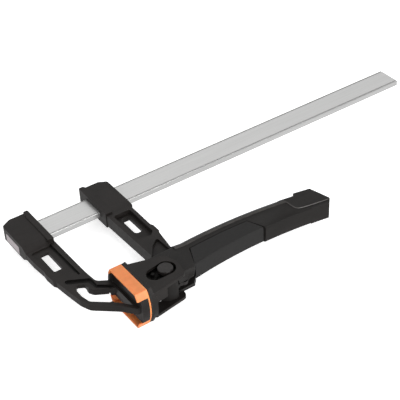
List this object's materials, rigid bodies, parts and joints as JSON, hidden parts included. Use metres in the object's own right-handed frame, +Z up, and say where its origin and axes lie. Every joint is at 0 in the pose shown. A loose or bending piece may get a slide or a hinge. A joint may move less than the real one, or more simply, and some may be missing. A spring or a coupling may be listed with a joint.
{
  "type": "quick release bar clamp",
  "caption": "Metal bar clamp with a fixed jaw, a sliding arm, a lever-driven cam that presses its jaw forward, and a ratchet with a release trigger.",
  "frame": {"origin": "middle of the fixed jaw's clamping face, the outer face of its cap", "axes": "+X along the bar from the fixed jaw to the bar's free end, +Y from the jaws to the bar, +Z up with the clamp lying flat"},
  "size_m": [0.4055, 0.1564, 0.034],
  "materials": {
    "bar_steel": "plain zinc-plated, satin",
    "cast_black": "black powder coat, satin",
    "cap_orange": "soft slip-on cap, matte",
    "pin_steel": "black oxide steel, satin",
    "bright_steel": "plain machined steel",
    "lever_plastic": "black glass-filled nylon, satin",
    "grip_rubber": "soft black over-moulding, matte",
    "pad_black": "black facing, matte",
    "spring_steel": "bright spring wire"
  },
  "bodies": {
    "frame": {"bar": "bar_steel", "fixed_jaw": "cast_black", "fixed_jaw_cap": "cap_orange", "head_roll_pins": "bright_steel"},
    "arm": {"sliding_arm": "cast_black", "bite_plates": "bright_steel", "brake_spring": "spring_steel", "pivot_pin": "pin_steel", "pivot_ring": "pin_steel", "ratchet_segment": "bright_steel", "segment_rivets": "bright_steel"},
    "lever": {"lever_body": "lever_plastic", "grip_sleeve": "grip_rubber", "cam_plates": "bright_steel", "cam_rivets": "bright_steel", "pawl_pin": "bright_steel", "pawl_spring": "spring_steel"},
    "pawl": {"pawl": "bright_steel", "release_trigger": "lever_plastic"},
    "shoe": {"pressure_shoe": "cast_black", "shoe_pad": "pad_black", "wear_plate": "bright_steel", "return_spring": "spring_steel"}
  },
  "joints": [
    {"name": "arm_slide", "type": "slide", "parent": "frame", "child": "arm", "axis": [1, 0, 0], "range_m": [0, 0.3]},
    {"name": "lever_pivot", "type": "hinge", "parent": "arm", "child": "lever", "pos_m": [0.0268, -0.0022, 0], "axis": [0, 0, 1], "range_deg": [-38, 0]},
    {"name": "shoe_slide", "type": "slide", "parent": "arm", "child": "shoe", "axis": [1, 0, 0], "range_m": [0, 0.00755], "deforming": ["return_spring"]},
    {"name": "pawl_hinge", "type": "hinge", "parent": "lever", "child": "pawl", "pos_m": [0.03736, -0.01045, 0], "axis": [0, 0, 1], "range_deg": [-8, 4.6], "stiffness_Nm_per_rad": 0.05, "deforming": ["pawl_spring"]}
  ],
  "couplings": [
    {"joint": "shoe_slide", "follows": "lever_pivot", "m_per_rad": -0.011308}
  ]
}
